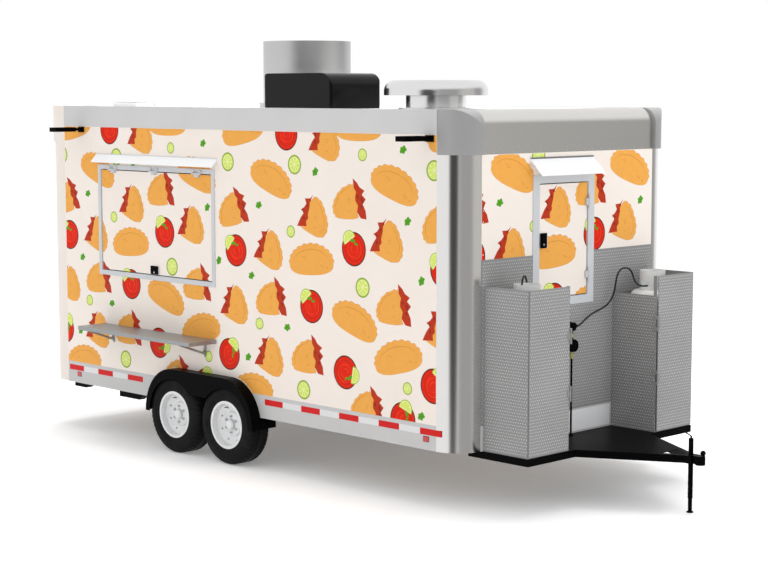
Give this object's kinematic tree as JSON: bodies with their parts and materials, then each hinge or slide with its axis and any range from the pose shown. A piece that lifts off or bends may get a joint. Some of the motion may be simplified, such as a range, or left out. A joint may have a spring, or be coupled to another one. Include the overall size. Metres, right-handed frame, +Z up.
{
  "type": "food concession trailer",
  "caption": "Box-bodied food concession trailer on a tandem axle, with a lift-up serving hatch, front hatch, rear door, gas lockers on the tongue and roof fans.",
  "frame": {"origin": "centre of the coupler's ball socket", "axes": "+X forward to the tow vehicle, +Y to the trailer's left, +Z up"},
  "size_m": [6.767, 3.015, 3.634],
  "materials": {
    "chassis_paint": "satin black chassis paint",
    "tongue_paint": "semi-gloss black enamel",
    "plywood_floor": "sealed plywood floor",
    "tyre_rubber": "moulded black tyre rubber",
    "wheel_silver": "silver-white wheel enamel",
    "fender_black": "gloss black painted steel",
    "mill_aluminium": "mill-finish aluminium",
    "wall_film": "cream printed film over painted aluminium",
    "polished_aluminium": "polished stainless corner post",
    "cast_aluminium": "satin cast aluminium",
    "cream_paint": "cream body paint",
    "rail_paint": "light grey painted rail",
    "roof_white": "white roof coating",
    "diamond_plate": "five-bar aluminium tread plate",
    "frame_grey": "light grey painted aluminium frame",
    "hood_white": "white painted sheet",
    "shelf_metal": "brushed stainless sheet",
    "black_plastic": "black moulded plastic",
    "bottle_paint": "white bottle enamel",
    "regulator_metal": "black coated regulator and pipe",
    "hose_rubber": "black gas hose rubber",
    "stack_aluminium": "spun aluminium",
    "fan_steel": "galvanised fan blades",
    "cooler_black": "black moulded shroud",
    "vent_white": "white moulded vent"
  },
  "bodies": {
    "trailer": {"chassis": "chassis_paint", "floor": "plywood_floor", "tongue_frame": "tongue_paint", "coupler": "tongue_paint", "tongue_jack": "tongue_paint", "axles": "chassis_paint", "suspension": "chassis_paint", "fenders": "fender_black", "skirts": "mill_aluminium", "right_wall": "wall_film", "left_wall": "wall_film", "front_wall": "wall_film", "rear_wall": "wall_film", "front_posts": "polished_aluminium", "rear_posts": "cream_paint", "front_castings": "cast_aluminium", "top_rails": "rail_paint", "front_cap": "polished_aluminium", "roof": "roof_white", "stone_guard": "diamond_plate", "opening_frames": "frame_grey", "rain_hoods": "hood_white", "serving_shelf": "shelf_metal", "light_bars": "black_plastic", "gas_lockers": "diamond_plate", "gas_bottles": "bottle_paint", "gas_regulators": "regulator_metal", "gas_hose_right": "hose_rubber", "gas_hose_left": "hose_rubber", "exhaust_stack": "stack_aluminium", "air_conditioner": "cooler_black", "round_fan": "polished_aluminium", "roof_vent": "vent_white", "stabilisers": "chassis_paint"},
    "wheel_front_right": {"tyre_front_right": "tyre_rubber", "wheel_front_right": "wheel_silver"},
    "wheel_rear_right": {"tyre_rear_right": "tyre_rubber", "wheel_rear_right": "wheel_silver"},
    "wheel_front_left": {"tyre_front_left": "tyre_rubber", "wheel_front_left": "wheel_silver"},
    "wheel_rear_left": {"tyre_rear_left": "tyre_rubber", "wheel_rear_left": "wheel_silver"},
    "side_hatch": {"side_hatch": "wall_film"},
    "front_hatch": {"front_hatch": "wall_film"},
    "rear_door": {"rear_door": "wall_film"},
    "locker_door_right": {"locker_door_right": "diamond_plate"},
    "locker_door_left": {"locker_door_left": "diamond_plate"},
    "stack_fan": {"stack_fan": "fan_steel"},
    "vent_lid": {"vent_lid": "vent_white"}
  },
  "joints": [
    {"name": "front_right_roll", "type": "hinge", "parent": "trailer", "child": "wheel_front_right", "pos_m": [-3.954, -1.27, -0.075], "axis": [0, 1, 0], "continuous": true},
    {"name": "front_left_roll", "type": "hinge", "parent": "trailer", "child": "wheel_front_left", "pos_m": [-3.954, 1.27, -0.075], "axis": [0, 1, 0], "continuous": true},
    {"name": "rear_right_roll", "type": "hinge", "parent": "trailer", "child": "wheel_rear_right", "pos_m": [-4.672, -1.27, -0.075], "axis": [0, 1, 0], "continuous": true},
    {"name": "rear_left_roll", "type": "hinge", "parent": "trailer", "child": "wheel_rear_left", "pos_m": [-4.672, 1.27, -0.075], "axis": [0, 1, 0], "continuous": true},
    {"name": "side_hatch_lift", "type": "hinge", "parent": "trailer", "child": "side_hatch", "pos_m": [-5.008, -1.313, 2.066], "axis": [-1, 0, 0], "range_deg": [0, 90]},
    {"name": "front_hatch_swing", "type": "hinge", "parent": "trailer", "child": "front_hatch", "pos_m": [-1.274, 0.21, 1.6025], "axis": [0, 0, 1], "range_deg": [0, 90]},
    {"name": "rear_door_swing", "type": "hinge", "parent": "trailer", "child": "rear_door", "pos_m": [-6.71, -0.18, 1.191], "axis": [0, 0, 1], "range_deg": [0, 110]},
    {"name": "right_locker_swing", "type": "hinge", "parent": "trailer", "child": "locker_door_right", "pos_m": [-0.824, -0.55, 0.663], "axis": [0, 0, 1], "range_deg": [0, 100]},
    {"name": "left_locker_swing", "type": "hinge", "parent": "trailer", "child": "locker_door_left", "pos_m": [-0.824, 0.55, 0.663], "axis": [0, 0, -1], "range_deg": [0, 100]},
    {"name": "stack_fan_spin", "type": "hinge", "parent": "trailer", "child": "stack_fan", "pos_m": [-4.122, -0.26, 2.949], "axis": [0, 0, 1], "continuous": true},
    {"name": "vent_lid_lift", "type": "hinge", "parent": "trailer", "child": "vent_lid", "pos_m": [-5.82, -0.7, 2.68], "axis": [0, 1, 0], "range_deg": [0, 70]}
  ]
}
